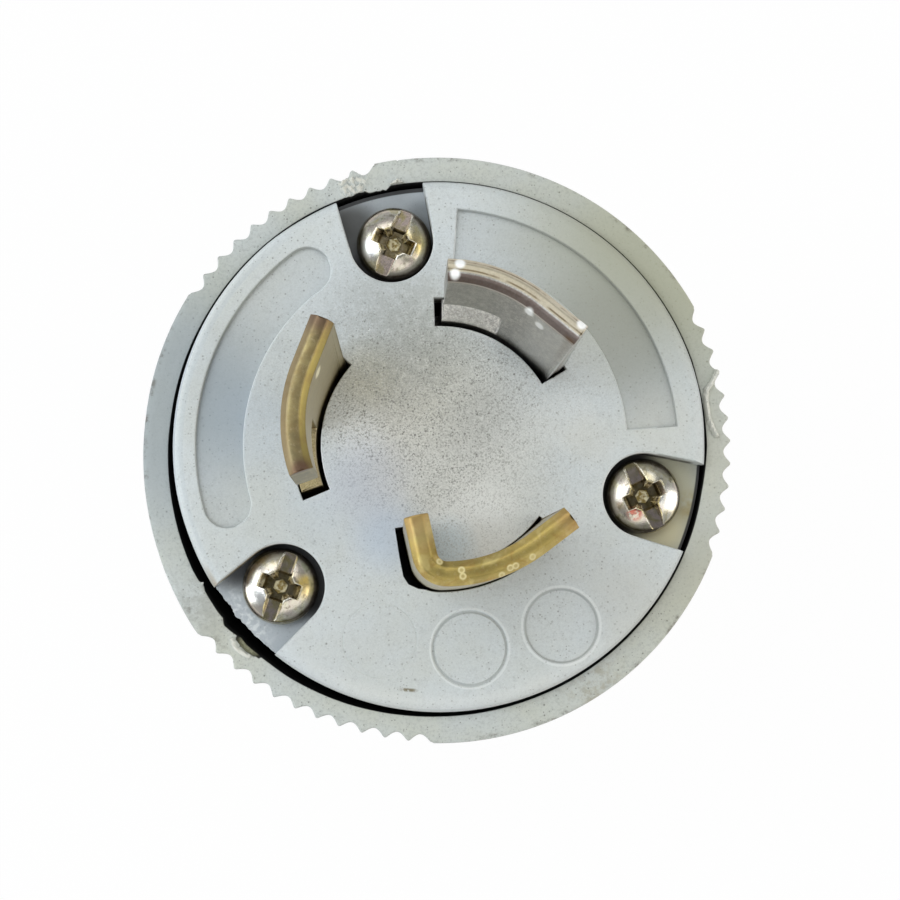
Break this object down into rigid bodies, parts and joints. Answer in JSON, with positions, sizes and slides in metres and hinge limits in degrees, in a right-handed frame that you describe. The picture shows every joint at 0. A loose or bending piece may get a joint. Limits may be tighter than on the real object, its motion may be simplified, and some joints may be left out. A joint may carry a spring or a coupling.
{
  "type": "locking cord plug",
  "caption": "Round locking cord plug: curved blades with locking hooks and a bent earth blade on a screwed-on face, a ribbed grip housing with a broken rim, and a cord clamp at the rear end.",
  "frame": {"origin": "centre of the rear end, on the plug's axis", "axes": "+Z along the plug's axis towards the blades; seen from the blade side, +X points right and +Y up in the picture"},
  "size_m": [0.0401, 0.04, 0.0666],
  "materials": {
    "grey_plastic": "moulded nylon, worn and dirty",
    "face_plastic": "moulded plastic, satin, with dark specks",
    "inner_plastic": "moulded",
    "brass": "bare, dulled",
    "nickel": "nickel plated",
    "yellow_zinc": "yellow chromated zinc",
    "green_screw": "green lacquered steel"
  },
  "bodies": {
    "root": {"housing": "grey_plastic", "face": "face_plastic", "terminal_block": "inner_plastic", "hot_blade": "brass", "neutral_blade": "nickel", "ground_blade": "brass", "hot_wire_plate": "brass", "neutral_wire_plate": "nickel", "ground_wire_plate": "brass", "hot_terminal_screw": "brass", "neutral_terminal_screw": "nickel", "ground_terminal_screw": "green_screw", "boss_inserts": "brass", "face_screws": "yellow_zinc", "clamp_saddle": "grey_plastic", "clamp_screws": "yellow_zinc", "clamp_nuts": "yellow_zinc"}
  },
  "joints": []
}
